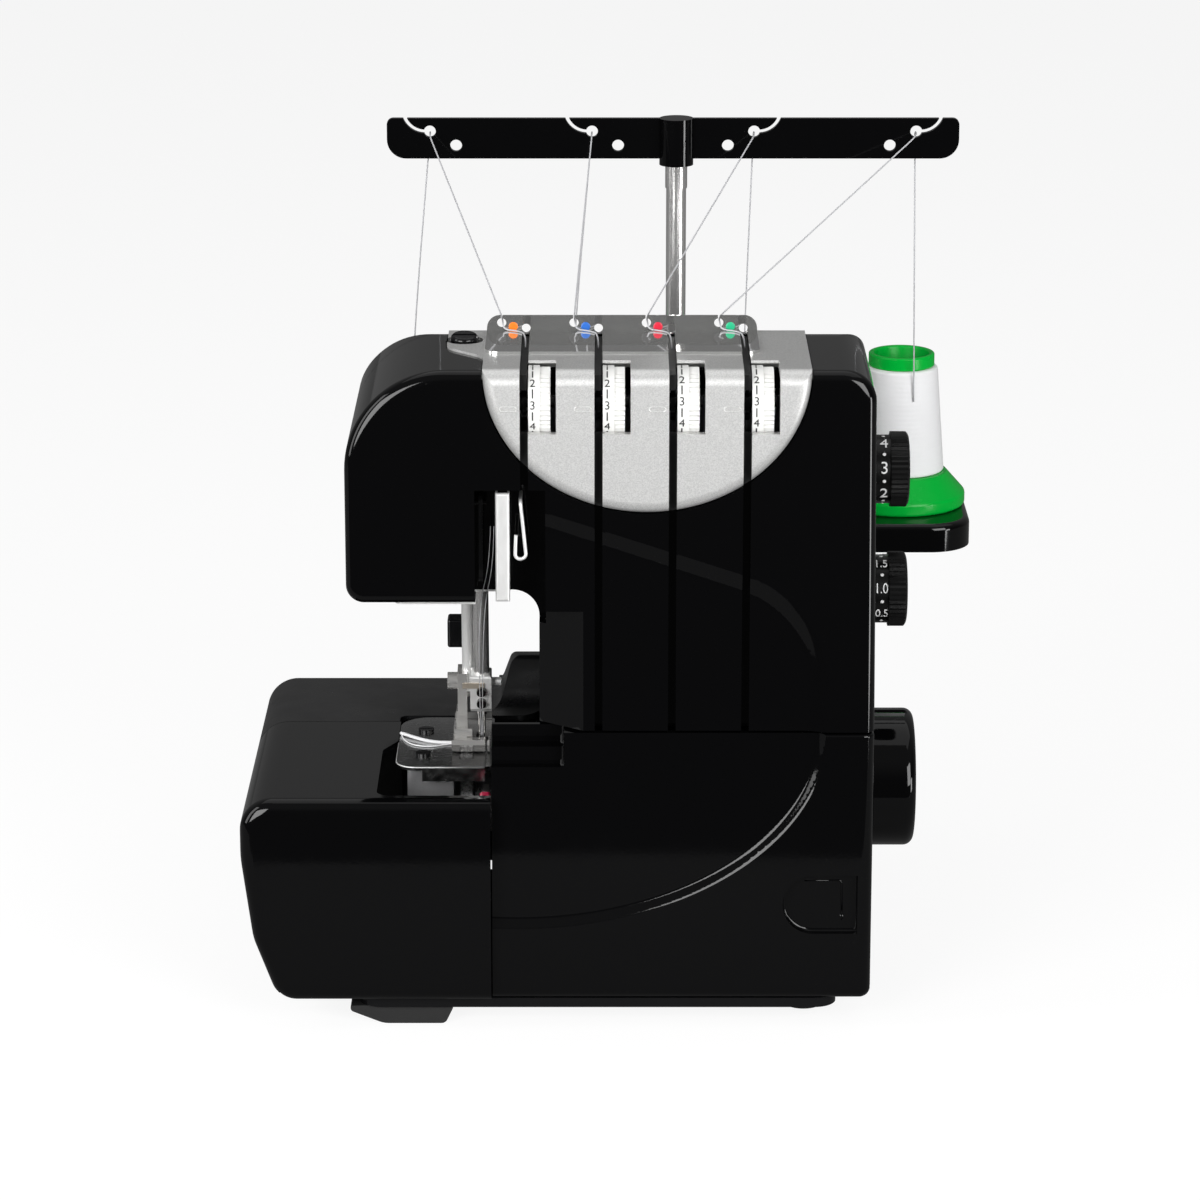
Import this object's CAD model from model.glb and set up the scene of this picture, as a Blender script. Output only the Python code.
"""Looks of a table-top overlock serger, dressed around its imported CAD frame.

Metres, +Z up, front towards -Y. The CAD nodes keep their shape and get their finishes here. Printed
marks, thread, cone windings and small trim are surfaces computed with numpy.
"""

import math

import bmesh
import bpy
import numpy as np
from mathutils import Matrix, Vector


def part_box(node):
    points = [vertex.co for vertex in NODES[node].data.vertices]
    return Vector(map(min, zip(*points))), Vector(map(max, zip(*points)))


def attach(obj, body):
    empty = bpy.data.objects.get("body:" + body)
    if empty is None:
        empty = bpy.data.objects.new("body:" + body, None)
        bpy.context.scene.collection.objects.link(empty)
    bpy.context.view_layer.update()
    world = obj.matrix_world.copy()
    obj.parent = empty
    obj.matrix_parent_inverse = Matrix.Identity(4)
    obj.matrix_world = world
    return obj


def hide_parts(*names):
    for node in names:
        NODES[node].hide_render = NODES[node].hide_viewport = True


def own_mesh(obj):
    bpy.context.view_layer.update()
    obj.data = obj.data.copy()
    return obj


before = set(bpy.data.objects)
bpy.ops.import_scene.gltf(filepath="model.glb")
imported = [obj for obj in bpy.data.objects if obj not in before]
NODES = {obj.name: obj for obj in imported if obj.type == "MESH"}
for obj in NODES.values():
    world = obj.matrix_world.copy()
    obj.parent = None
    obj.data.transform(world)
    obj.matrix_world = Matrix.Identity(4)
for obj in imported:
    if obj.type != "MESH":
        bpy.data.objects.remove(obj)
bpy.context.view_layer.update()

# Camera: the photograph looks down by a small pitch from straight ahead
VIEW_PITCH = math.radians(16.0)
VIEW_DISTANCE = 2.0
VIEW_TARGET = np.array([-0.009, -0.137, 0.2013])
VIEW_WIDTH = 0.528      # what the frame spans at the target
SENSOR = 36.0

# Studio
FLOOR_FRONT = -0.37
FLOOR_REACH = 4.0
FLOOR_GRID = 9
FLOOR_GLOW = 0.88       # what the camera sees added to the lit floor
FLOOR_SHEEN = 0.06      # the same for mirrored rays
BACKDROP_SHEEN = 0.11   # how much of the white backdrop a mirrored ray sees
ROOM_LOW = 0.045        # light of the room from the sides and below
ROOM_HIGH = 0.15        # and from above
SOFTBOXES = (           # name, place, aim, width, height, watts
    ("left_key", (-1.25, -1.9, 0.8), (0.0, -0.05, 0.25), 1.3, 1.3, 44.0),
    ("right_key", (1.25, -1.9, 0.8), (0.0, -0.05, 0.25), 1.3, 1.3, 40.0),
    ("top_softbox", (0.15, 0.25, 1.9), (0.0, 0.0, 0.2), 2.4, 1.6, 7.0),
    ("right_strip", (1.22, -0.75, 0.0), (0.1, -0.1, 0.2), 0.3, 0.5, 5.0),
    ("left_strip", (-1.35, -0.45, 0.7), (-0.1, -0.1, 0.2), 0.45, 1.2, 6.0),
)

# Finishes
SKIN_HEIGHT = 0.0004    # depth of the waves in moulded plastic
GRAIN_HEIGHT = 0.0002   # depth of the grain in metal
SILVER_METALLIC = 0.6
SILVER_COAT = 0.2
SLOT_FADE = (0.00005, 0.00015)  # where the silver starts and is full, outside a slot's wall
SCREW_FADE = 0.0002
RED_EDGE_Y = -0.1035    # where the red dip on the finger lever ends
RED_FADE = 0.0003

# Print and trim
PRINT_DEPTH = 0.00012
DIGIT_HEIGHT = 0.0037
DIGIT_STEP = math.radians(36.0)
DIGIT_INSET = 0.0019
TICK_LENGTH = 0.0040
TICK_WIDTH = 0.00055
DIAL_READING = 3
DIAL_TURNS = tuple(math.radians(turn) for turn in (7.5, 7.5, 14.0, 14.0))
SIDE_DIGIT_HEIGHT = 0.0054
SIDE_DIGIT_STEP = math.radians(46.0)
SIDE_DIGIT_X = 0.1182
SIDE_DOT_R = 0.0008
SIDE_BAND_R = 0.0155
LENGTH_NUMBERS = ("1", "2", "3", "4", "5")
RATIO_NUMBERS = ("0.5", "1.0", "1.5", "2.0")
RATIO_DIGIT_HEIGHT = 0.85 * SIDE_DIGIT_HEIGHT
RATIO_SQUEEZE = 0.78
PILL_LENGTH = 0.0072
PILL_HEIGHT = 0.0021
PILL_RIM = 0.00028
PILL_SIDE = 0.0069
MARK_RISE = 0.0006      # of the setting marks above the dials' axis
SLOT_HALF = 0.0017
SLOT_TO_DIAL = 0.0019   # from a slot's middle to its dial's left face
GUIDE_THICK = 0.0012
EYE_SIDE = 0.011        # from a slot's middle to the eye left of it
DOT_R = 0.0021
DOT_RISE = 0.0003
DOT_SIDE = 0.0052
DOT_DROP = 0.0017
GRIP_DEPTH = 0.0035
ARROW_CORNERS = ((0.0828, 0.0694), (0.0994, 0.0694), (0.0997, 0.0530))
ARROW_BEND = 0.0012
ARROW_R = 0.00045
ARROW_HEAD = 0.0026

# Thread
THREAD_R = 0.00035
TUBE_SIDES = 10
GUIDE_EYE_Z = 0.3096
CHAIN_R = 0.0008
CHAIN_LOOP_R = 0.00035
NEEDLE_THREAD_R = 0.0002
CONE_X = (-0.0845, -0.0105, 0.0635, 0.1375)
CONE_Y = 0.096
WIND_LOW = 0.2015
WIND_HIGH = 0.2535
WIND_BASE_R = 0.0215
WIND_TOP_R = 0.0176
WIND_CORE_R = 0.0141
WIND_SIDES = 240
WIND_ROWS = 130
WIND_EDGE_R = 0.0016
WIND_EDGE_SHARE = 0.03  # share of the height over which an edge is rounded
LAY_HEIGHT = 0.000012
BAND_HEIGHT = 0.00004

# Needle bar, which leans forward at the top
BAR_LEAN = math.radians(10.0)
BAR_UP = (0.0, -math.sin(BAR_LEAN), math.cos(BAR_LEAN))
BAR_OUT = (0.0, -math.cos(BAR_LEAN), -math.sin(BAR_LEAN))
NEEDLE_FOOT = (-0.0635, -0.052, 0.109)
CLAMP_OUT = 0.0055
SCREW_OUT = 0.0054
STRIP_SIDE = -0.0037
STRIP_RISE = 0.0317
STRIP_LENGTH = 0.0100
STRIP_HEIGHT = 0.0026
STRIP_THICK = 0.0004
PLATE_RIM_R = 0.00035
PLATE_CORNER_R = 0.009

# Routes of the needle threads from the guard to the needle eyes, and of the stitched tail on the plate
NEEDLE_ROUTES = (
    ((-0.0572, -0.1262, 0.2320), (-0.0578, -0.1258, 0.2140), (-0.0628, -0.1180, 0.1940),
     (-0.0641, -0.0690, 0.1350), (-0.0640, -0.0622, 0.1252), (-0.0639, -0.0560, 0.1200),
     (-0.0639, -0.0549, 0.1125)),
    ((-0.0557, -0.1262, 0.2320), (-0.0561, -0.1258, 0.2140), (-0.0606, -0.1180, 0.1940),
     (-0.0629, -0.0690, 0.1350), (-0.0630, -0.0622, 0.1252), (-0.0631, -0.0560, 0.1200),
     (-0.0631, -0.0549, 0.1125)),
)
CHAIN_ROUTE = ((-0.0745, -0.0575, 0.1101), (-0.0792, -0.0582, 0.1101), (-0.0848, -0.0573, 0.1101),
               (-0.0903, -0.0549, 0.1102), (-0.0975, -0.0485, 0.1104), (-0.1015, -0.0450, 0.1106))
CHAIN_LOOP = ((-0.0745, -0.0583, 0.1099), (-0.0798, -0.0594, 0.1099), (-0.0865, -0.0638, 0.1099),
              (-0.0949, -0.0617, 0.1099), (-0.1000, -0.0537, 0.1099), (-0.1010, -0.0468, 0.1099))

# Routes from cone to bar eye, and from bar eye over the crest to the thread slot
ROUTES_UP = (
    ((-0.1000, 0.0843, 0.2395), (-0.0992, 0.0849, 0.2660), (-0.0899, 0.0683, 0.3660),
     (-0.0891, 0.0670, 0.3739), (-0.0891, 0.0600, 0.3739)),
    ((-0.0225, 0.0807, 0.2395), (-0.0219, 0.0815, 0.2660), (-0.0134, 0.0681, 0.3660),
     (-0.0128, 0.0670, 0.3739), (-0.0128, 0.0600, 0.3739)),
    ((0.0600, 0.0769, 0.2395), (0.0602, 0.0779, 0.2660), (0.0633, 0.0678, 0.3659),
     (0.0636, 0.0670, 0.3739), (0.0636, 0.0600, 0.3739)),
    ((0.1425, 0.0772, 0.2395), (0.1422, 0.0782, 0.2660), (0.1401, 0.0678, 0.3659),
     (0.1399, 0.0670, 0.3739), (0.1399, 0.0600, 0.3739)),
)
ROUTES_DOWN = (
    ((-0.0891, 0.0600, 0.3739), (-0.0891, 0.0530, 0.3739), (-0.0869, 0.0463, 0.3700),
     (-0.0553, -0.0493, 0.3145), (-0.0531, -0.0560, 0.3106), (-0.0525, -0.0628, 0.3092),
     (-0.0521, -0.0641, 0.3068), (-0.0451, -0.0672, 0.3067),
     (-0.0421, -0.0740, 0.3066), (-0.0421, -0.0860, 0.3033)),
    ((-0.0128, 0.0600, 0.3739), (-0.0128, 0.0530, 0.3739), (-0.0133, 0.0461, 0.3699),
     (-0.0202, -0.0491, 0.3146), (-0.0206, -0.0560, 0.3106), (-0.0200, -0.0628, 0.3092),
     (-0.0196, -0.0641, 0.3068), (-0.0127, -0.0672, 0.3067),
     (-0.0097, -0.0740, 0.3066), (-0.0097, -0.0860, 0.3033)),
    ((0.0636, 0.0600, 0.3739), (0.0636, 0.0530, 0.3739), (0.0605, 0.0466, 0.3702),
     (0.0149, -0.0496, 0.3143), (0.0119, -0.0560, 0.3106), (0.0125, -0.0628, 0.3092),
     (0.0129, -0.0641, 0.3068), (0.0199, -0.0672, 0.3067),
     (0.0229, -0.0740, 0.3066), (0.0229, -0.0860, 0.3033)),
    ((0.1399, 0.0600, 0.3739), (0.1399, 0.0530, 0.3739), (0.1351, 0.0475, 0.3707),
     (0.0492, -0.0505, 0.3138), (0.0444, -0.0560, 0.3106), (0.0450, -0.0628, 0.3092),
     (0.0454, -0.0641, 0.3068), (0.0524, -0.0672, 0.3067),
     (0.0554, -0.0740, 0.3066), (0.0554, -0.0860, 0.3033)),
)


# Meshes

def grid_faces(rows, columns, wrap_rows=False, wrap_columns=False):
    """Quads of a grid of points: each joins a point to its next row and next column."""
    i = np.arange(rows if wrap_rows else rows - 1)[:, None]
    j = np.arange(columns if wrap_columns else columns - 1)[None, :]
    i2, j2 = (i + 1) % rows, (j + 1) % columns
    corners = [i * columns + j, i2 * columns + j, i2 * columns + j2, i * columns + j2]
    return np.stack(np.broadcast_arrays(*corners), -1).reshape(-1, 4)


def mesh_of(name, points, faces, smooth=True, close=True):
    """A mesh from points and faces; close merges poles and seams and turns the faces outwards."""
    mesh = bpy.data.meshes.new(name)
    mesh.from_pydata(np.asarray(points).reshape(-1, 3).tolist(), [], [list(f) for f in faces])
    if close:
        shape = bmesh.new()
        shape.from_mesh(mesh)
        bmesh.ops.remove_doubles(shape, verts=shape.verts, dist=1e-7)
        bmesh.ops.recalc_face_normals(shape, faces=shape.faces)
        shape.to_mesh(mesh)
        shape.free()
    mesh.polygons.foreach_set("use_smooth", np.full(len(mesh.polygons), smooth))
    mesh.update()
    return mesh


def add_piece(name, mesh, material, body):
    """Puts a finished mesh into the scene at the origin, riding on a body."""
    piece = bpy.data.objects.new(name, mesh)
    bpy.context.scene.collection.objects.link(piece)
    mesh.materials.append(material)
    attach(piece, body)
    return piece


def joined(parts):
    """Several (points, faces) pairs as one pair, with the face corners shifted along."""
    points, faces, shift = [], [], 0
    for part_points, part_faces in parts:
        points.append(part_points)
        faces += [[shift + int(c) for c in f] for f in part_faces]
        shift += len(part_points)
    return np.concatenate(points), faces


def tube(path, radius, sides=TUBE_SIDES, closed=False, side_hint=(1.0, 0.0, 0.0)):
    """A circle of that radius carried along a path; open ends close to a point.

    At each path point the circle lies across the tangent, in the axes tangent x hint and its cross."""
    path = np.asarray(path, float)
    if closed:
        tangent = np.roll(path, -1, 0) - np.roll(path, 1, 0)
    else:
        tangent = np.gradient(path, axis=0)
    tangent /= np.linalg.norm(tangent, axis=1)[:, None]
    across = np.cross(tangent, np.asarray(side_hint))
    across /= np.linalg.norm(across, axis=1)[:, None]
    over = np.cross(across, tangent)
    reach = np.broadcast_to(np.asarray(radius, float), len(path))
    if not closed:
        path = np.concatenate([path[:1], path, path[-1:]])
        across = np.concatenate([across[:1], across, across[-1:]])
        over = np.concatenate([over[:1], over, over[-1:]])
        reach = np.concatenate([[0.0], reach, [0.0]])
    turn = np.linspace(0, 2 * np.pi, sides, endpoint=False)
    ring = np.cos(turn)[:, None] * across[:, None, :] + np.sin(turn)[:, None] * over[:, None, :]
    points = path[:, None, :] + reach[:, None, None] * ring
    return points.reshape(-1, 3), grid_faces(len(path), sides, closed, True)


def button(centre, radius, height, axis_out, axis_side, sides=32):
    """A shallow domed disc: the radius runs out on a quarter ellipse as the height runs down."""
    lift = np.linspace(0, np.pi / 2, 6)
    out = np.concatenate([[0.0], radius * (0.72 + 0.28 * np.sin(lift))])
    rise = np.concatenate([[1.0], np.cos(lift)]) * height
    out, rise = np.append(out, [radius, 0.0]), np.append(rise, [-height, -height])
    turn = np.linspace(0, 2 * np.pi, sides, endpoint=False)
    axis_out, axis_side = np.asarray(axis_out, float), np.asarray(axis_side, float)
    third = np.cross(axis_out, axis_side)
    ring = np.cos(turn)[:, None] * axis_side + np.sin(turn)[:, None] * third
    points = np.asarray(centre) + out[:, None, None] * ring + rise[:, None, None] * axis_out
    return points.reshape(-1, 3), grid_faces(len(out), sides, False, True)


def slab(width, height, depth, steps=6):
    """A flat box in x and y, cut into steps along y so that it can be bent round a dial."""
    y = np.linspace(-height / 2, height / 2, steps)
    corners = np.array([[-1, -1], [1, -1], [1, 1], [-1, 1]]) * [width / 2, depth]
    rings = np.stack(np.broadcast_arrays(corners[None, :, 0], y[:, None], corners[None, :, 1]), -1)
    ends = [[0, 1, 2, 3], [4 * steps - 4, 4 * steps - 3, 4 * steps - 2, 4 * steps - 1]]
    return rings.reshape(-1, 3), grid_faces(steps, 4, False, True).tolist() + ends


def numerals(text, height):
    """Numerals as flat solids, centred on the origin, scaled so that they are height tall."""
    font = bpy.data.curves.new("numerals", "FONT")
    font.body = text
    font.size = 1.0
    font.resolution_u = 4
    holder = bpy.data.objects.new("numerals", font)
    bpy.context.scene.collection.objects.link(holder)
    bpy.context.view_layer.update()
    mesh = bpy.data.meshes.new_from_object(holder)
    bpy.data.objects.remove(holder)
    flat = np.zeros(len(mesh.vertices) * 3)
    mesh.vertices.foreach_get("co", flat)
    flat = flat.reshape(-1, 3)
    low, high = flat.min(0), flat.max(0)
    flat = (flat - (low + high) / 2) * height / (high[1] - low[1])
    faces = [list(p.vertices) for p in mesh.polygons]
    bpy.data.meshes.remove(mesh)
    bpy.data.curves.remove(font)
    return flat, faces


def thickened(flat, faces, depth):
    """A flat face set as a closed solid: the set at +depth, its copy at -depth turned round, and walls."""
    count = len(flat)
    top = flat + [0, 0, depth]
    bottom = flat - [0, 0, depth]
    edges = {}
    for f in faces:
        for a, b in zip(f, f[1:] + f[:1]):
            edges[(a, b)] = edges.get((a, b), 0) + 1
    walls = [[a, a + count, b + count, b] for a, b in edges if (b, a) not in edges]
    under = [[c + count for c in reversed(f)] for f in faces]
    return np.concatenate([top, bottom]), faces + under + walls


def on_dial(flat, x, axis_y, axis_z, radius, turn):
    """Bends flat print round a dial: its height becomes angle and its depth becomes radius."""
    angle = turn + flat[:, 1] / radius
    reach = radius + flat[:, 2]
    return np.stack([x + flat[:, 0], axis_y - reach * np.cos(angle), axis_z + reach * np.sin(angle)], -1)


def nurbs_line(points):
    """The route's own smooth line: points read from its NURBS spline of order 3, ends held."""
    curve = bpy.data.curves.new("route", "CURVE")
    curve.dimensions = "3D"
    curve.resolution_u = 16
    spline = curve.splines.new("NURBS")
    spline.points.add(len(points) - 1)
    spline.points.foreach_set("co", np.column_stack([points, np.ones(len(points))]).ravel())
    spline.order_u = 3
    spline.use_endpoint_u = True
    holder = bpy.data.objects.new("route", curve)
    mesh = bpy.data.meshes.new_from_object(holder)
    line = np.zeros(len(mesh.vertices) * 3)
    mesh.vertices.foreach_get("co", line)
    bpy.data.objects.remove(holder)
    bpy.data.meshes.remove(mesh)
    bpy.data.curves.remove(curve)
    return line.reshape(-1, 3)


# Shader groups shared by several finishes

def shader_group(name, inputs, outputs):
    """A node group with named value sockets, ready for its nodes."""
    tree = bpy.data.node_groups.new(name, "ShaderNodeTree")
    for socket, kind, value in inputs:
        made = tree.interface.new_socket(name=socket, in_out="INPUT", socket_type=kind)
        if value is not None:
            made.default_value = value
    for socket in outputs:
        tree.interface.new_socket(name=socket, in_out="OUTPUT", socket_type="NodeSocketFloat")
    return tree, tree.nodes.new("NodeGroupInput"), tree.nodes.new("NodeGroupOutput")


def node(tree, kind, **values):
    """A node with its properties set by name and its sockets set by words in sockets."""
    made = tree.nodes.new(kind)
    for socket, value in values.pop("sockets", {}).items():
        made.inputs[socket].default_value = value
    for key, value in values.items():
        setattr(made, key, value)
    return made


def map_range(tree, source, low, high, to_low=None, to_high=None, smooth=False):
    """A Map Range node fed by source; to_low and to_high are numbers or sockets."""
    made = node(tree, "ShaderNodeMapRange", sockets={"From Min": low, "From Max": high})
    if smooth:
        made.interpolation_type = "SMOOTHSTEP"
    tree.links.new(source, made.inputs["Value"])
    for socket, value in (("To Min", to_low), ("To Max", to_high)):
        if value is None:
            continue
        if isinstance(value, (int, float)):
            made.inputs[socket].default_value = value
        else:
            tree.links.new(value, made.inputs[socket])
    return made.outputs["Result"]


def build_moulded_skin():
    """Moulded plastic: a slow noise varies the roughness, a fine one gives the skin its height."""
    tree, entry, leave = shader_group(
        "moulded_skin",
        [("Vector", "NodeSocketVector", None), ("Scale", "NodeSocketFloat", 60.0),
         ("Smooth", "NodeSocketFloat", 0.05), ("Dull", "NodeSocketFloat", 0.12),
         ("Skin Scale", "NodeSocketFloat", 900.0)],
        ["Roughness", "Height"],
    )
    slow = node(tree, "ShaderNodeTexNoise", sockets={"Detail": 4.0, "Roughness": 0.6})
    fine = node(tree, "ShaderNodeTexNoise", sockets={"Detail": 2.0})
    for noise, scale in ((slow, "Scale"), (fine, "Skin Scale")):
        tree.links.new(entry.outputs["Vector"], noise.inputs["Vector"])
        tree.links.new(entry.outputs[scale], noise.inputs["Scale"])
    rough = map_range(tree, slow.outputs["Fac"], 0.35, 0.7, entry.outputs["Smooth"], entry.outputs["Dull"])
    tree.links.new(rough, leave.inputs["Roughness"])
    tree.links.new(fine.outputs["Fac"], leave.inputs["Height"])
    return tree


def build_metal_flake():
    """Flake lacquer: each small cell of a Voronoi pattern has its own brightness and tilt."""
    tree, entry, leave = shader_group(
        "metal_flake",
        [("Vector", "NodeSocketVector", None), ("Scale", "NodeSocketFloat", 3500.0),
         ("Dark", "NodeSocketFloat", 0.8), ("Bright", "NodeSocketFloat", 1.0)],
        ["Shade", "Height"],
    )
    cells = node(tree, "ShaderNodeTexVoronoi")
    tree.links.new(entry.outputs["Vector"], cells.inputs["Vector"])
    tree.links.new(entry.outputs["Scale"], cells.inputs["Scale"])
    parts = node(tree, "ShaderNodeSeparateColor")
    tree.links.new(cells.outputs["Color"], parts.inputs["Color"])
    shade = map_range(tree, parts.outputs["Red"], 0.0, 1.0, entry.outputs["Dark"], entry.outputs["Bright"])
    tree.links.new(shade, leave.inputs["Shade"])
    tree.links.new(parts.outputs["Green"], leave.inputs["Height"])
    return tree


def build_ground_lines():
    """Ground or drawn metal: a noise stretched along the grain varies roughness and height."""
    tree, entry, leave = shader_group(
        "ground_lines",
        [("Vector", "NodeSocketVector", None), ("Scale", "NodeSocketFloat", 400.0),
         ("Smooth", "NodeSocketFloat", 0.12), ("Dull", "NodeSocketFloat", 0.3)],
        ["Roughness", "Height"],
    )
    grain = node(tree, "ShaderNodeTexNoise", sockets={"Detail": 3.0})
    tree.links.new(entry.outputs["Vector"], grain.inputs["Vector"])
    tree.links.new(entry.outputs["Scale"], grain.inputs["Scale"])
    rough = map_range(tree, grain.outputs["Fac"], 0.3, 0.7, entry.outputs["Smooth"], entry.outputs["Dull"])
    tree.links.new(rough, leave.inputs["Roughness"])
    tree.links.new(grain.outputs["Fac"], leave.inputs["Height"])
    return tree


def build_thread_lay():
    """Laid thread: a sine of the two UV axes gives the turns, with a slow noise over them."""
    tree, entry, leave = shader_group(
        "thread_lay",
        [("Vector", "NodeSocketVector", None), ("Turns", "NodeSocketFloat", 150.0),
         ("Slope", "NodeSocketFloat", 6.0), ("Dark", "NodeSocketFloat", 0.8)],
        ["Shade", "Height"],
    )
    axes = node(tree, "ShaderNodeSeparateXYZ")
    tree.links.new(entry.outputs["Vector"], axes.inputs["Vector"])
    along = node(tree, "ShaderNodeMath", operation="MULTIPLY")
    tree.links.new(axes.outputs["Y"], along.inputs[0])
    tree.links.new(entry.outputs["Turns"], along.inputs[1])
    phase = node(tree, "ShaderNodeMath", operation="MULTIPLY_ADD")
    tree.links.new(axes.outputs["X"], phase.inputs[0])
    tree.links.new(entry.outputs["Slope"], phase.inputs[1])
    tree.links.new(along.outputs["Value"], phase.inputs[2])
    wave = node(tree, "ShaderNodeMath", operation="PINGPONG")
    wave.inputs[1].default_value = 1.0
    tree.links.new(phase.outputs["Value"], wave.inputs[0])
    slow = node(tree, "ShaderNodeTexNoise", sockets={"Scale": 9.0, "Detail": 3.0})
    tree.links.new(entry.outputs["Vector"], slow.inputs["Vector"])
    blend = node(tree, "ShaderNodeMath", operation="MULTIPLY")
    tree.links.new(wave.outputs["Value"], blend.inputs[0])
    tree.links.new(slow.outputs["Fac"], blend.inputs[1])
    shade = map_range(tree, blend.outputs["Value"], 0.0, 0.7, entry.outputs["Dark"], 1.0)
    tree.links.new(shade, leave.inputs["Shade"])
    tree.links.new(wave.outputs["Value"], leave.inputs["Height"])
    return tree


MOULDED_SKIN = build_moulded_skin()
METAL_FLAKE = build_metal_flake()
GROUND_LINES = build_ground_lines()
THREAD_LAY = build_thread_lay()


# Finishes

def slot_centres():
    """X of the four thread slots: each dial starts a fixed step right of its slot."""
    return [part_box(f"tension_dial_{k}")[0].x - SLOT_TO_DIAL for k in (1, 2, 3, 4)]


def finish_of(name, colour, roughness, **sockets):
    """A Principled material with its constants on the shader's own sockets."""
    material = bpy.data.materials.new(name)
    material.use_nodes = True
    tree = material.node_tree
    shader = tree.nodes["Principled BSDF"]
    shader.inputs["Base Color"].default_value = (*colour, 1.0)
    shader.inputs["Roughness"].default_value = roughness
    for socket, value in sockets.items():
        shader.inputs[socket.replace("_", " ")].default_value = value
    return material, tree, shader


def use_group(tree, group, coordinate="Object", stretch=None, **values):
    """Places a shared group in a material, fed by one coordinate, with its own values."""
    placed = tree.nodes.new("ShaderNodeGroup")
    placed.node_tree = group
    source = tree.nodes.new("ShaderNodeTexCoord").outputs[coordinate]
    if stretch:
        turn = node(tree, "ShaderNodeMapping", sockets={"Scale": stretch})
        tree.links.new(source, turn.inputs["Vector"])
        source = turn.outputs["Vector"]
    tree.links.new(source, placed.inputs["Vector"])
    for socket, value in values.items():
        placed.inputs[socket.replace("_", " ")].default_value = value
    return placed


def add_bump(tree, shader, height, strength, distance):
    """Feeds a height into the shader's normal."""
    bump = node(tree, "ShaderNodeBump", sockets={"Strength": strength, "Distance": distance})
    tree.links.new(height, bump.inputs["Height"])
    tree.links.new(bump.outputs["Normal"], shader.inputs["Normal"])


def tinted(tree, shader, shade, colour):
    """Base colour times a shade that changes over the surface."""
    mix = node(tree, "ShaderNodeMix", data_type="RGBA", blend_type="MULTIPLY")
    mix.inputs["Factor"].default_value = 1.0
    mix.inputs["A"].default_value = (*colour, 1.0)
    grey = tree.nodes.new("ShaderNodeCombineColor")
    for channel in ("Red", "Green", "Blue"):
        tree.links.new(shade, grey.inputs[channel])
    tree.links.new(grey.outputs["Color"], mix.inputs["B"])
    tree.links.new(mix.outputs["Result"], shader.inputs["Base Color"])


def two_colours(tree, shader, mask, plain, masked):
    """Base colour that is plain where the mask is 0 and masked where it is 1."""
    mix = node(tree, "ShaderNodeMix", data_type="RGBA")
    mix.inputs["A"].default_value = (*plain, 1.0)
    mix.inputs["B"].default_value = (*masked, 1.0)
    tree.links.new(mask, mix.inputs["Factor"])
    tree.links.new(mix.outputs["Result"], shader.inputs["Base Color"])


def mirrored_rays(tree):
    """Two sockets: 1 for rays from the camera, and 1 for rays off a mirror or through glass."""
    light_path = tree.nodes.new("ShaderNodeLightPath")
    mirrored = node(tree, "ShaderNodeMath", operation="ADD")
    tree.links.new(light_path.outputs["Is Glossy Ray"], mirrored.inputs[0])
    tree.links.new(light_path.outputs["Is Transmission Ray"], mirrored.inputs[1])
    return light_path.outputs["Is Camera Ray"], mirrored.outputs["Value"]


def plastic(name, colour, smooth, dull, scale=45.0, skin=700.0, bump=0.02, **sockets):
    """Moulded plastic with a skin of fine waves and a roughness that varies slowly."""
    material, tree, shader = finish_of(name, colour, dull, **sockets)
    skin_group = use_group(tree, MOULDED_SKIN, Scale=scale, Smooth=smooth, Dull=dull, Skin_Scale=skin)
    tree.links.new(skin_group.outputs["Roughness"], shader.inputs["Roughness"])
    add_bump(tree, shader, skin_group.outputs["Height"], bump, SKIN_HEIGHT)
    return material


def metal(name, colour, smooth, dull, stretch, scale=300.0, bump=0.03, metallic=1.0):
    """Bright metal with a grain that is drawn out along one axis; less metallic means a satin plating."""
    material, tree, shader = finish_of(name, colour, dull, Metallic=metallic)
    grain = use_group(tree, GROUND_LINES, stretch=stretch, Scale=scale, Smooth=smooth, Dull=dull)
    tree.links.new(grain.outputs["Roughness"], shader.inputs["Roughness"])
    add_bump(tree, shader, grain.outputs["Height"], bump, GRAIN_HEIGHT)
    return material


def slot_mask(tree):
    """1 on the walls of the four thread slots and 0 elsewhere, from the distance to the nearest slot in X.

    nearest = first + pitch * round((x - first) / pitch), kept between the first slot and the last."""
    first, second, _, last = slot_centres()
    axes = tree.nodes.new("ShaderNodeSeparateXYZ")
    tree.links.new(tree.nodes.new("ShaderNodeTexCoord").outputs["Object"], axes.inputs["Vector"])
    kept = node(tree, "ShaderNodeClamp", sockets={"Min": first, "Max": last})
    tree.links.new(axes.outputs["X"], kept.inputs["Value"])
    shifted = node(tree, "ShaderNodeMath", operation="SUBTRACT")
    shifted.inputs[1].default_value = first
    tree.links.new(kept.outputs["Result"], shifted.inputs[0])
    steps = node(tree, "ShaderNodeMath", operation="SNAP")
    steps.inputs[1].default_value = second - first
    centred = node(tree, "ShaderNodeMath", operation="ADD")
    centred.inputs[1].default_value = (second - first) / 2
    tree.links.new(shifted.outputs["Value"], centred.inputs[0])
    tree.links.new(centred.outputs["Value"], steps.inputs[0])
    offset = node(tree, "ShaderNodeMath", operation="ADD")
    offset.inputs[1].default_value = first
    tree.links.new(steps.outputs["Value"], offset.inputs[0])
    away = node(tree, "ShaderNodeMath", operation="SUBTRACT")
    tree.links.new(axes.outputs["X"], away.inputs[0])
    tree.links.new(offset.outputs["Value"], away.inputs[1])
    distance = node(tree, "ShaderNodeMath", operation="ABSOLUTE")
    tree.links.new(away.outputs["Value"], distance.inputs[0])
    starts, full = SLOT_FADE
    return map_range(tree, distance.outputs["Value"], SLOT_HALF + starts, SLOT_HALF + full, 1.0, 0.0)


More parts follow.
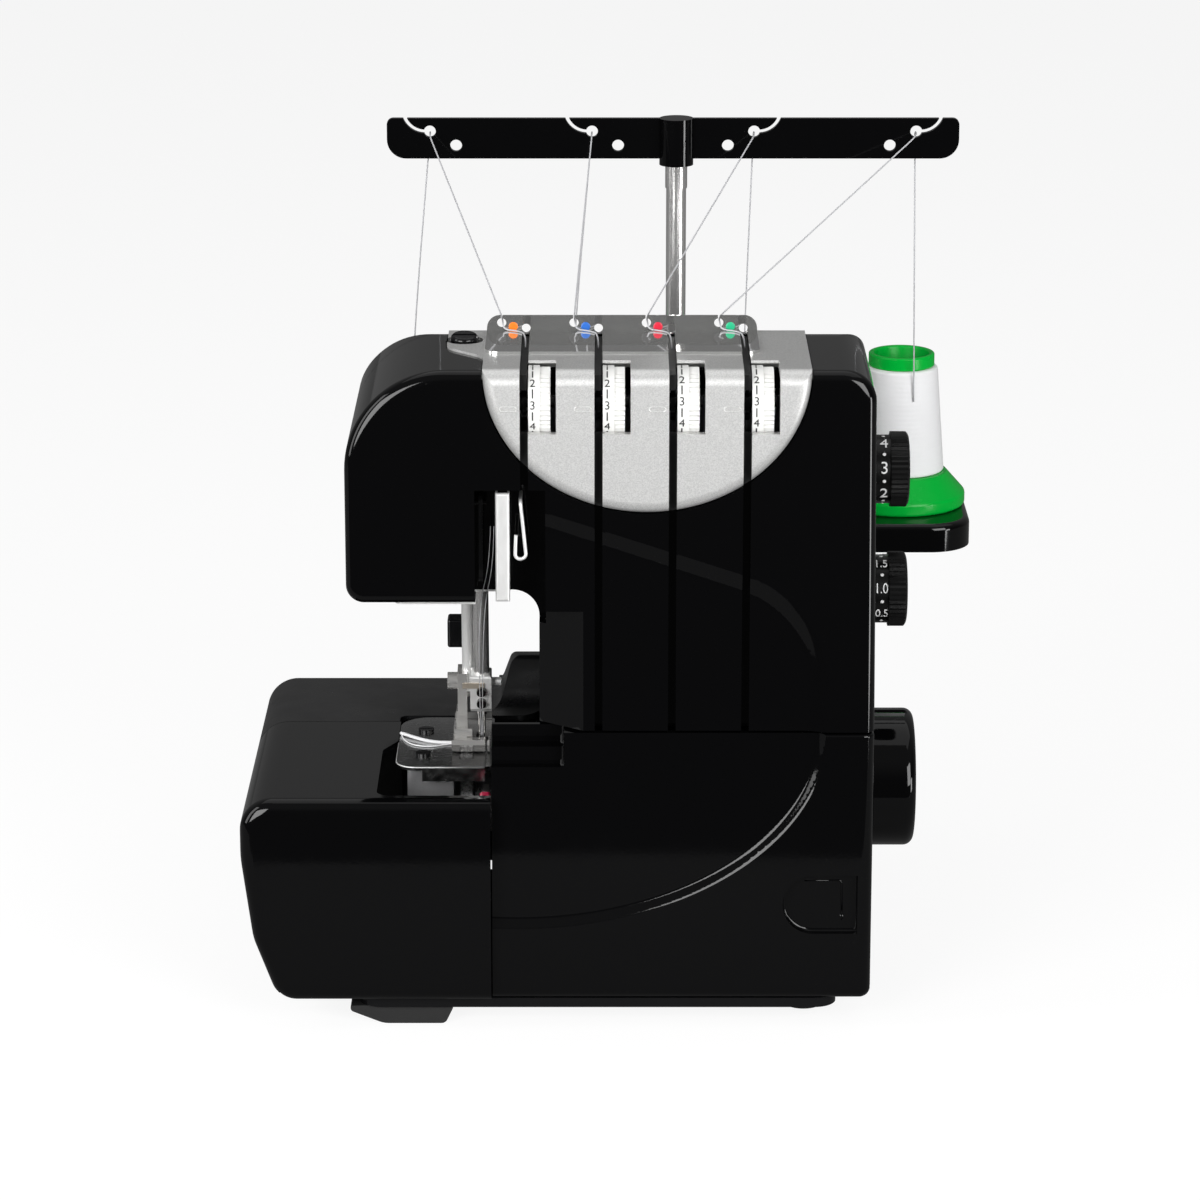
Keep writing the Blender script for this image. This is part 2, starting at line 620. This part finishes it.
def silver_lacquer(name, slotted):
    """Silver lacquer: fine flakes of uneven brightness under a clear coat; bare black in the thread slots."""
    colour = (0.80, 0.80, 0.79)
    material, tree, shader = finish_of(name, colour, 0.4, Metallic=SILVER_METALLIC,
                                       Coat_Weight=SILVER_COAT, Coat_Roughness=0.12)
    flake = use_group(tree, METAL_FLAKE, Scale=2600.0, Dark=0.78, Bright=1.0)
    tinted(tree, shader, flake.outputs["Shade"], colour)
    add_bump(tree, shader, flake.outputs["Height"], 0.12, 0.00015)
    if slotted:
        mask = slot_mask(tree)
        lacquer = shader.inputs["Base Color"].links[0].from_socket
        paint = node(tree, "ShaderNodeMix", data_type="RGBA")
        paint.inputs["B"].default_value = (0.003, 0.003, 0.003, 1.0)
        tree.links.new(mask, paint.inputs["Factor"])
        tree.links.new(lacquer, paint.inputs["A"])
        tree.links.new(paint.outputs["Result"], shader.inputs["Base Color"])
        for socket, value in (("Metallic", SILVER_METALLIC), ("Coat Weight", SILVER_COAT)):
            tree.links.new(map_range(tree, mask, 0.0, 1.0, value, 0.0), shader.inputs[socket])
    return material


def thread_white(name, colour, turns, slope):
    """White sewing thread: its turns show as fine lines along the UV map."""
    material, tree, shader = finish_of(name, colour, 0.62, Sheen_Weight=0.25, Sheen_Roughness=0.4)
    lay = use_group(tree, THREAD_LAY, "UV", Turns=turns, Slope=slope, Dark=0.92)
    tinted(tree, shader, lay.outputs["Shade"], colour)
    add_bump(tree, shader, lay.outputs["Height"], 0.22, 0.0002)
    return material


def needle_steel():
    """Bright needles and black set screws: the mask is the distance out of the clamp's front face.

    distance = dot(point - needle foot, out of the leaning clamp)."""
    bright, black = (0.74, 0.73, 0.71), (0.006, 0.006, 0.006)
    material, tree, shader = finish_of("needle_steel", bright, 0.14)
    from_foot = node(tree, "ShaderNodeVectorMath", operation="SUBTRACT")
    from_foot.inputs[1].default_value = NEEDLE_FOOT
    tree.links.new(tree.nodes.new("ShaderNodeTexCoord").outputs["Object"], from_foot.inputs[0])
    out = node(tree, "ShaderNodeVectorMath", operation="DOT_PRODUCT")
    out.inputs[1].default_value = BAR_OUT
    tree.links.new(from_foot.outputs["Vector"], out.inputs[0])
    mask = map_range(tree, out.outputs["Value"], SCREW_OUT, SCREW_OUT + SCREW_FADE)
    two_colours(tree, shader, mask, bright, black)
    tree.links.new(map_range(tree, mask, 0.0, 1.0, 1.0, 0.0), shader.inputs["Metallic"])
    return material


def lever_red():
    """Ground steel lever whose front end is dipped in red: the mask is a step along Y."""
    red, steel = (0.8, 0.01, 0.09), (0.5, 0.5, 0.5)
    material, tree, shader = finish_of("lever_red", red, 0.3)
    axes = tree.nodes.new("ShaderNodeSeparateXYZ")
    tree.links.new(tree.nodes.new("ShaderNodeTexCoord").outputs["Object"], axes.inputs["Vector"])
    mask = map_range(tree, axes.outputs["Y"], RED_EDGE_Y - RED_FADE, RED_EDGE_Y + RED_FADE)
    two_colours(tree, shader, mask, red, steel)
    tree.links.new(mask, shader.inputs["Metallic"])
    return material


BLACK_GLOSS = plastic("black_gloss", (0.0015, 0.0015, 0.0017), 0.045, 0.085, bump=0.012,
                      Specular_IOR_Level=0.34)
BLACK_SATIN = plastic("black_satin", (0.004, 0.004, 0.0045), 0.16, 0.26, skin=1500.0, bump=0.05,
                      Specular_IOR_Level=0.4)
BLACK_GRIP = plastic("black_grip", (0.004, 0.004, 0.004), 0.22, 0.36, skin=2400.0, bump=0.08,
                     Specular_IOR_Level=0.3)
FOOT_RUBBER = plastic("foot_rubber", (0.008, 0.008, 0.008), 0.55, 0.75, skin=1800.0, bump=0.2)
DIAL_WHITE = plastic("dial_white", (0.84, 0.84, 0.82), 0.28, 0.38, bump=0.03)
CONE_GREEN = plastic("cone_green", (0.0, 0.42, 0.04), 0.2, 0.32, bump=0.04, Specular_IOR_Level=0.2)
PRINT_BLACK = plastic("print_black", (0.012, 0.012, 0.012), 0.4, 0.55)
PRINT_WHITE = plastic("print_white", (0.82, 0.82, 0.82), 0.4, 0.5)
SATIN_PLATE = metal("satin_plate", (0.86, 0.86, 0.85), 0.34, 0.48, (8.0, 8.0, 1.0), metallic=0.55)
NICKEL = metal("bright_nickel", (0.78, 0.77, 0.75), 0.07, 0.16, (1.0, 8.0, 8.0), bump=0.015, metallic=0.72)
PLATE_STEEL = metal("plate_steel", (0.4, 0.4, 0.4), 0.16, 0.28, (1.0, 10.0, 1.0), scale=260.0)
DRAWN_STEEL = metal("drawn_steel", (0.62, 0.61, 0.6), 0.1, 0.22, (10.0, 10.0, 1.0))
TOOL_STEEL = metal("tool_steel", (0.52, 0.52, 0.52), 0.2, 0.34, (6.0, 1.0, 6.0))
CAST_ALLOY = metal("cast_alloy", (0.5, 0.5, 0.51), 0.42, 0.6, (1.0, 1.0, 1.0), scale=900.0, bump=0.2)
BRONZE = metal("bronze", (0.55, 0.36, 0.16), 0.25, 0.4, (1.0, 6.0, 6.0))
STRIP_BRONZE = metal("strip_bronze", (0.52, 0.46, 0.38), 0.3, 0.45, (1.0, 6.0, 6.0), metallic=0.6)
SILVER = silver_lacquer("silver_lacquer", False)
SLOTTED_SILVER = silver_lacquer("slotted_silver", True)
GUIDE_MIRROR = metal("guide_mirror", (0.8, 0.8, 0.79), 0.03, 0.08, (1.0, 8.0, 8.0), 120.0, 0.003, 0.92)
POLISHED_ROD = metal("polished_rod", (0.82, 0.81, 0.8), 0.16, 0.24, (6.0, 6.0, 1.0), 60.0, 0.004, 0.85)
BED_SATIN = plastic("bed_satin", (0.004, 0.004, 0.0045), 0.26, 0.36, skin=1500.0, bump=0.03)
WOUND_THREAD = thread_white("wound_thread", (0.9, 0.9, 0.91), 260.0, 14.0)
RUN_THREAD = thread_white("run_thread", (0.5, 0.5, 0.52), 900.0, 2.0)
DOT_PAINTS = [
    plastic("dot_orange", (0.9, 0.19, 0.01), 0.3, 0.4),
    plastic("dot_blue", (0.02, 0.13, 0.5), 0.3, 0.4),
    plastic("dot_red", (0.62, 0.012, 0.04), 0.3, 0.4),
    plastic("dot_green", (0.01, 0.42, 0.2), 0.3, 0.4),
]

NODE_FINISHES = (
    (BLACK_GLOSS, ("front_cover", "rear_cover", "base_cover", "side_cover", "looper_cover",
                   "hand_wheel", "spool_stand", "thread_guide_bar")),
    (BLACK_SATIN, ("base_pan", "spool_pins", "power_inlet", "power_switch", "presser_lifter",
                   "take_up_lever", "pressure_screw", "tension_posts", "plate_screws")),
    (BED_SATIN, ("bed_cover",)),
    (BLACK_GRIP, ("stitch_length_dial", "differential_feed_dial")),
    (FOOT_RUBBER, ("rubber_feet", "drive_belt")),
    (SLOTTED_SILVER, ("tension_panel",)),
    (SATIN_PLATE, ("take_up_guard", "needle_clamp", "presser_bar", "head_plate")),
    (POLISHED_ROD, ("needle_bar", "pole_upper", "pole_tube")),
    (GUIDE_MIRROR, ("thread_guide_plate",)),
    (NICKEL, ("presser_foot", "presser_foot_screw")),
    (needle_steel(), ("needles",)),
    (PLATE_STEEL, ("needle_plate",)),
    (DRAWN_STEEL, ("main_shaft", "side_cover_pin", "looper_cover_rod")),
    (TOOL_STEEL, ("upper_knife", "lower_knife", "upper_looper", "lower_looper", "main_feed_dog",
                  "differential_feed_dog", "motor")),
    (CAST_ALLOY, ("machine_frame", "main_pulley", "motor_pulley")),
    (BRONZE, ("shaft_bushes",)),
    (DIAL_WHITE, tuple(f"tension_dial_{k}" for k in (1, 2, 3, 4))),
    (CONE_GREEN, ("cone_cores",)),
    (lever_red(), ("stitch_finger_lever",)),
)


def dress_nodes():
    """Gives every CAD node its finish."""
    for material, names in NODE_FINISHES:
        for name in names:
            slots = NODES[name].data.materials
            slots.clear()
            slots.append(material)


# Print on the dials

def add_tension_print(k):
    """Numerals and ticks round the smooth band of one tension dial."""
    low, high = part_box(f"tension_dial_{k}")
    axis_y, axis_z = (low.y + high.y) / 2, (low.z + high.z) / 2
    radius = (high.z - low.z) / 2
    parts = []
    for number in range(10):
        turn = DIAL_TURNS[k - 1] - (number - DIAL_READING) * DIGIT_STEP
        flat, faces = numerals(str(number), DIGIT_HEIGHT)
        solid, faces = thickened(flat, faces, PRINT_DEPTH)
        parts.append((on_dial(solid, low.x + DIGIT_INSET, axis_y, axis_z, radius, turn), faces))
        tick, faces = slab(TICK_WIDTH, TICK_LENGTH, PRINT_DEPTH)
        half_way = turn - DIGIT_STEP / 2
        parts.append((on_dial(tick, low.x + DIGIT_INSET, axis_y, axis_z, radius, half_way), faces))
    mesh = mesh_of(f"tension_print_{k}", *joined(parts), smooth=False)
    add_piece(f"tension_print_{k}", mesh, PRINT_BLACK, f"dial_{k}")


def add_side_print(name, dial, body, numbers, reading, height, squeeze):
    """White numerals and dots round the band of one side dial; squeeze narrows the numerals."""
    low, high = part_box(dial)
    axis_y, axis_z = (low.y + high.y) / 2, (low.z + high.z) / 2
    parts = []
    for step, number in enumerate(numbers):
        turn = VIEW_PITCH + (step - reading) * SIDE_DIGIT_STEP
        flat, faces = numerals(number, height)
        solid, faces = thickened(flat * [squeeze, 1, 1], faces, 2 * PRINT_DEPTH)
        parts.append((on_dial(solid, SIDE_DIGIT_X, axis_y, axis_z, SIDE_BAND_R, turn), faces))
        dot, faces = button((0, 0, 0), SIDE_DOT_R, PRINT_DEPTH, (0, 0, 1), (1, 0, 0), 20)
        half_way = turn - SIDE_DIGIT_STEP / 2
        parts.append((on_dial(dot, SIDE_DIGIT_X, axis_y, axis_z, SIDE_BAND_R, half_way), faces))
    mesh = mesh_of(name, *joined(parts), smooth=False)
    add_piece(name, mesh, PRINT_WHITE, body)


# Trim

def add_setting_marks():
    """A raised pill outline left of each slot: two straight runs joined by half circles."""
    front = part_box("tension_panel")[0].y
    low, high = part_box("tension_dial_1")
    mark_z = (low.z + high.z) / 2 + MARK_RISE
    turn = np.linspace(0, 2 * np.pi, 48, endpoint=False)
    half = (PILL_LENGTH - PILL_HEIGHT) / 2
    side = np.cos(turn) * PILL_HEIGHT / 2 + np.sign(np.cos(turn)) * half
    rise = np.sin(turn) * PILL_HEIGHT / 2
    parts = []
    for x in slot_centres():
        path = np.stack([x - PILL_SIDE + side, np.full_like(side, front), mark_z + rise], -1)
        parts.append(tube(path, PILL_RIM, 8, True, (0.0, 1.0, 0.0)))
    mesh = mesh_of("setting_marks", *joined(parts))
    add_piece("setting_marks", mesh, SILVER, "machine")


def add_colour_dots():
    """Coloured paint dots beside the eyes of the thread guide plate."""
    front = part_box("thread_guide_plate")[1].y - GUIDE_THICK
    for k, x in enumerate(slot_centres()):
        centre = (x - EYE_SIDE + DOT_SIDE, front, GUIDE_EYE_Z - DOT_DROP)
        mesh = mesh_of(f"colour_dot_{k + 1}", *button(centre, DOT_R, DOT_RISE, (0, -1, 0), (1, 0, 0)))
        add_piece(f"colour_dot_{k + 1}", mesh, DOT_PAINTS[k], "machine")


def add_grip_arrow():
    """A raised arrow in the finger recess: a round bead along two runs, and a head that narrows."""
    floor_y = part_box("looper_cover")[0].y + GRIP_DEPTH
    (x0, z0), (x1, z1), (x2, z2) = ARROW_CORNERS
    turn = np.linspace(0, np.pi / 2, 7)
    corner_x = x1 - ARROW_BEND + ARROW_BEND * np.sin(turn)
    corner_z = z1 - ARROW_BEND + ARROW_BEND * np.cos(turn)
    corner = np.stack([corner_x, np.full_like(turn, floor_y), corner_z], -1)
    path = np.concatenate([[(x0, floor_y, z0)], corner, [(x2, floor_y, z2)]])
    bead = tube(path, ARROW_R, 8, False, (0.0, 1.0, 0.0))
    tip = np.array([(x2, floor_y, z2 + ARROW_HEAD * 0.2), (x2, floor_y, z2 - ARROW_HEAD)])
    head = tube(tip, np.array([ARROW_HEAD * 0.45, ARROW_R * 0.2]), 12, False, (0.0, 1.0, 0.0))
    flat = head[0] * [1, 0.35, 1] + [0, floor_y * 0.65, 0]
    mesh = mesh_of("grip_arrow", *joined([bead, (flat, head[1])]))
    add_piece("grip_arrow", mesh, BLACK_GLOSS, "looper_door")


def add_clamp_strip():
    """A bronze guide strip across the front of the needle clamp: a slab turned to the bar's lean."""
    flat, faces = slab(STRIP_LENGTH, STRIP_HEIGHT, STRIP_THICK)
    side = flat[:, :1] + STRIP_SIDE
    rise = flat[:, 1:2] + STRIP_RISE
    out = flat[:, 2:] + CLAMP_OUT + STRIP_THICK
    points = np.array(NEEDLE_FOOT) + side * [1, 0, 0] + rise * np.array(BAR_UP) + out * np.array(BAR_OUT)
    mesh = mesh_of("clamp_strip", points, faces, smooth=False)
    add_piece("clamp_strip", mesh, STRIP_BRONZE, "needle_unit")


def add_plate_rim():
    """The bright rolled edge of the needle plate: a bead down its left side and along its front.

    The corner between them is a quarter circle."""
    low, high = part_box("needle_plate")
    turn = np.linspace(np.pi, 1.5 * np.pi, 13)
    corner_x = low.x + PLATE_CORNER_R * (1 + np.cos(turn))
    corner_y = low.y + PLATE_CORNER_R * (1 + np.sin(turn))
    corner = np.stack([corner_x, corner_y], -1)
    ends = np.array([[low.x, low.y + 4 * PLATE_CORNER_R], [high.x - PLATE_CORNER_R / 3, low.y]])
    line = np.concatenate([ends[:1], corner, ends[1:]])
    path = np.column_stack([line, np.full(len(line), high.z - PLATE_RIM_R)])
    mesh = mesh_of("plate_rim", *tube(path, PLATE_RIM_R, 8, False, (0.0, 0.0, 1.0)))
    add_piece("plate_rim", mesh, SATIN_PLATE, "machine")


# Thread

def with_run_uv(mesh, path):
    """Gives a tube's mesh a UV map from its own points: U round the tube, V along the path in decimetres."""
    centre = np.asarray(path)
    points = np.zeros(len(mesh.vertices) * 3)
    mesh.vertices.foreach_get("co", points)
    points = points.reshape(-1, 3)
    gaps = ((points[:, None, :] - centre[None, :, :]) ** 2).sum(-1)
    nearest = gaps.argmin(1)
    run = np.concatenate([[0], np.cumsum(np.linalg.norm(np.diff(centre, axis=0), axis=1))])
    off = points - centre[nearest]
    around = np.arctan2(off[:, 2], off[:, 0]) / (2 * np.pi)
    corners = np.zeros(len(mesh.loops), np.int32)
    mesh.loops.foreach_get("vertex_index", corners)
    uv = np.stack([around[corners], run[nearest][corners] * 10], -1)
    mesh.uv_layers.new(name="run").data.foreach_set("uv", uv.astype(np.float32).ravel())


def add_thread_run(name, route, node_name):
    """One run of thread along its route's NURBS line, which shortens as the mast goes down."""
    line = nurbs_line(route)
    mesh = mesh_of(name, *tube(line, THREAD_R))
    with_run_uv(mesh, line)
    piece = add_piece(name, mesh, RUN_THREAD, "machine")
    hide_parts(node_name)
    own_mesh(piece)


def add_threads():
    """Four threads, each in a run from its cone to the bar and a run from the bar to its slot."""
    for k in range(4):
        add_thread_run(f"thread_{k + 1}_up", ROUTES_UP[k], f"thread_{k + 1}")
        add_thread_run(f"thread_{k + 1}_down", ROUTES_DOWN[k], f"thread_{k + 1}")


def add_needle_threads():
    """Two threads from the guard to the needle eyes; they draw up along the bar as it rises."""
    for k, route in enumerate(NEEDLE_ROUTES):
        line = nurbs_line(route)
        mesh = mesh_of(f"needle_thread_{k + 1}", *tube(line, NEEDLE_THREAD_R))
        with_run_uv(mesh, line)
        piece = add_piece(f"needle_thread_{k + 1}", mesh, RUN_THREAD, "machine")
        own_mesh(piece)


def add_chain_tail():
    """The stitched tail on the needle plate: a plump chain and one thinner loop beside it."""
    chains = (("chain_tail", CHAIN_ROUTE, CHAIN_R), ("chain_loop", CHAIN_LOOP, CHAIN_LOOP_R))
    for name, route, radius in chains:
        line = nurbs_line(route)
        mesh = mesh_of(name, *tube(line, radius, side_hint=(0.0, 0.0, 1.0)))
        with_run_uv(mesh, line)
        piece = add_piece(name, mesh, WOUND_THREAD, "machine")


def add_winding(k):
    """Thread wound on a cone: the radius falls from base to top, with crossing bands laid over it.

    radius = line from base to top, less a rounded edge, plus small sines of angle and height."""
    angle = np.linspace(0, 2 * np.pi, WIND_SIDES, endpoint=False)[None, :]
    t = np.linspace(0, 1, WIND_ROWS)[:, None]
    into_edge = np.clip(1 - np.minimum(t, 1 - t) / WIND_EDGE_SHARE, 0, 1)
    edge = WIND_EDGE_R * (1 - np.sqrt(1 - into_edge ** 2))
    radius = WIND_BASE_R + (WIND_TOP_R - WIND_BASE_R) * t - edge
    lay = np.sin(3 * angle + 46 * np.pi * t) + np.sin(-3 * angle + 46 * np.pi * t + 1.3 * k)
    bands = np.sin(2 * angle + 11 * t + k) * np.sin(23 * t + angle)
    radius = radius + LAY_HEIGHT * lay + BAND_HEIGHT * bands
    height = WIND_LOW + (WIND_HIGH - WIND_LOW) * np.broadcast_to(t, radius.shape)
    inner = np.full((1, WIND_SIDES), WIND_CORE_R)
    radius = np.concatenate([inner, radius, inner])
    height = np.concatenate([height[:1], height, height[-1:]])
    points = np.stack([CONE_X[k] + radius * np.cos(angle), CONE_Y + radius * np.sin(angle), height], -1)
    name = f"cone_winding_{k + 1}"
    mesh = mesh_of(name, points, grid_faces(WIND_ROWS + 2, WIND_SIDES, False, True))
    corners = np.zeros(len(mesh.loops), np.int32)
    mesh.loops.foreach_get("vertex_index", corners)
    around = np.broadcast_to(angle / (2 * np.pi), radius.shape).ravel()
    along = ((height - WIND_LOW) / (WIND_HIGH - WIND_LOW)).ravel()
    uv = np.stack([around, along], -1)[corners]
    mesh.uv_layers.new(name="lay").data.foreach_set("uv", uv.astype(np.float32).ravel())
    piece = add_piece(name, mesh, WOUND_THREAD, "machine")
    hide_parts("cone_windings")


# Studio

def build_world():
    """White to the camera; to other rays a dim room, paler above and, in mirrors, pale behind."""
    world = bpy.data.worlds.new("studio")
    bpy.context.scene.world = world
    world.use_nodes = True
    tree = world.node_tree
    background = tree.nodes["Background"]
    axes = tree.nodes.new("ShaderNodeSeparateXYZ")
    tree.links.new(tree.nodes.new("ShaderNodeTexCoord").outputs["Generated"], axes.inputs["Vector"])
    above = map_range(tree, axes.outputs["Z"], 0.12, 0.75, ROOM_LOW, ROOM_HIGH, True)
    behind = map_range(tree, axes.outputs["Y"], -0.1, 0.6, 0.0, BACKDROP_SHEEN, True)
    from_camera, mirrored = mirrored_rays(tree)
    backdrop = node(tree, "ShaderNodeMath", operation="MULTIPLY")
    tree.links.new(mirrored, backdrop.inputs[0])
    tree.links.new(behind, backdrop.inputs[1])
    seen = node(tree, "ShaderNodeMath", operation="ADD", use_clamp=True)
    tree.links.new(from_camera, seen.inputs[0])
    tree.links.new(backdrop.outputs["Value"], seen.inputs[1])
    level = node(tree, "ShaderNodeMix", data_type="FLOAT")
    level.inputs["B"].default_value = 1.0
    tree.links.new(seen.outputs["Value"], level.inputs["Factor"])
    tree.links.new(above, level.inputs["A"])
    tree.links.new(level.outputs["Result"], background.inputs["Strength"])
    background.inputs["Color"].default_value = (1.0, 1.0, 1.0, 1.0)


def build_floor():
    """A plain white table top that ends in front of the machine."""
    across = np.linspace(-FLOOR_REACH, FLOOR_REACH, FLOOR_GRID)
    along = np.linspace(FLOOR_FRONT, FLOOR_REACH, FLOOR_GRID)
    x, y = np.meshgrid(across, along, indexing="ij")
    points = np.stack([x, y, np.zeros_like(x)], -1)
    mesh = mesh_of("table_top", points, grid_faces(FLOOR_GRID, FLOOR_GRID), close=False)
    floor = bpy.data.objects.new("table_top", mesh)
    bpy.context.scene.collection.objects.link(floor)
    material, tree, shader = finish_of("table_white", (0.16, 0.16, 0.16), 0.8, Specular_IOR_Level=0.0)
    from_camera, mirrored = mirrored_rays(tree)
    sheen = node(tree, "ShaderNodeMath", operation="MULTIPLY")
    sheen.inputs[1].default_value = FLOOR_SHEEN
    tree.links.new(mirrored, sheen.inputs[0])
    glow = node(tree, "ShaderNodeMath", operation="MULTIPLY_ADD")
    glow.inputs[1].default_value = FLOOR_GLOW
    tree.links.new(from_camera, glow.inputs[0])
    tree.links.new(sheen.outputs["Value"], glow.inputs[2])
    shader.inputs["Emission Color"].default_value = (1.0, 1.0, 1.0, 1.0)
    tree.links.new(glow.outputs["Value"], shader.inputs["Emission Strength"])
    mesh.materials.append(material)


def add_softbox(name, place, aim, width, height, power):
    """A rectangular lamp at place, turned to face aim."""
    lamp = bpy.data.lights.new(name, "AREA")
    lamp.shape = "RECTANGLE"
    lamp.size = width
    lamp.size_y = height
    lamp.energy = power
    box = bpy.data.objects.new(name, lamp)
    bpy.context.scene.collection.objects.link(box)
    box.location = place
    from_lamp = Vector(aim) - Vector(place)
    box.rotation_euler = from_lamp.to_track_quat("-Z", "Y").to_euler()


def build_camera():
    """The photograph's camera, straight ahead and looking down by the view pitch."""
    lens = bpy.data.cameras.new("photo_view")
    lens.sensor_width = SENSOR
    lens.lens = SENSOR * VIEW_DISTANCE / VIEW_WIDTH
    camera = bpy.data.objects.new("photo_view", lens)
    bpy.context.scene.collection.objects.link(camera)
    back = np.array([0.0, -math.cos(VIEW_PITCH), math.sin(VIEW_PITCH)])
    camera.location = VIEW_TARGET + back * VIEW_DISTANCE
    camera.rotation_euler = (math.pi / 2 - VIEW_PITCH, 0.0, 0.0)
    bpy.context.scene.camera = camera


dress_nodes()
for dial_number in (1, 2, 3, 4):
    add_tension_print(dial_number)
    add_winding(dial_number - 1)
add_side_print("length_print", "stitch_length_dial", "length_dial", LENGTH_NUMBERS, 2,
               SIDE_DIGIT_HEIGHT, 1.0)
add_side_print("ratio_print", "differential_feed_dial", "ratio_dial", RATIO_NUMBERS, 1,
               RATIO_DIGIT_HEIGHT, RATIO_SQUEEZE)
add_setting_marks()
add_colour_dots()
add_grip_arrow()
add_clamp_strip()
add_plate_rim()
add_threads()
add_needle_threads()
add_chain_tail()
build_camera()
build_world()
build_floor()
for softbox in SOFTBOXES:
    add_softbox(*softbox)

bpy.context.scene.view_settings.view_transform = "Standard"
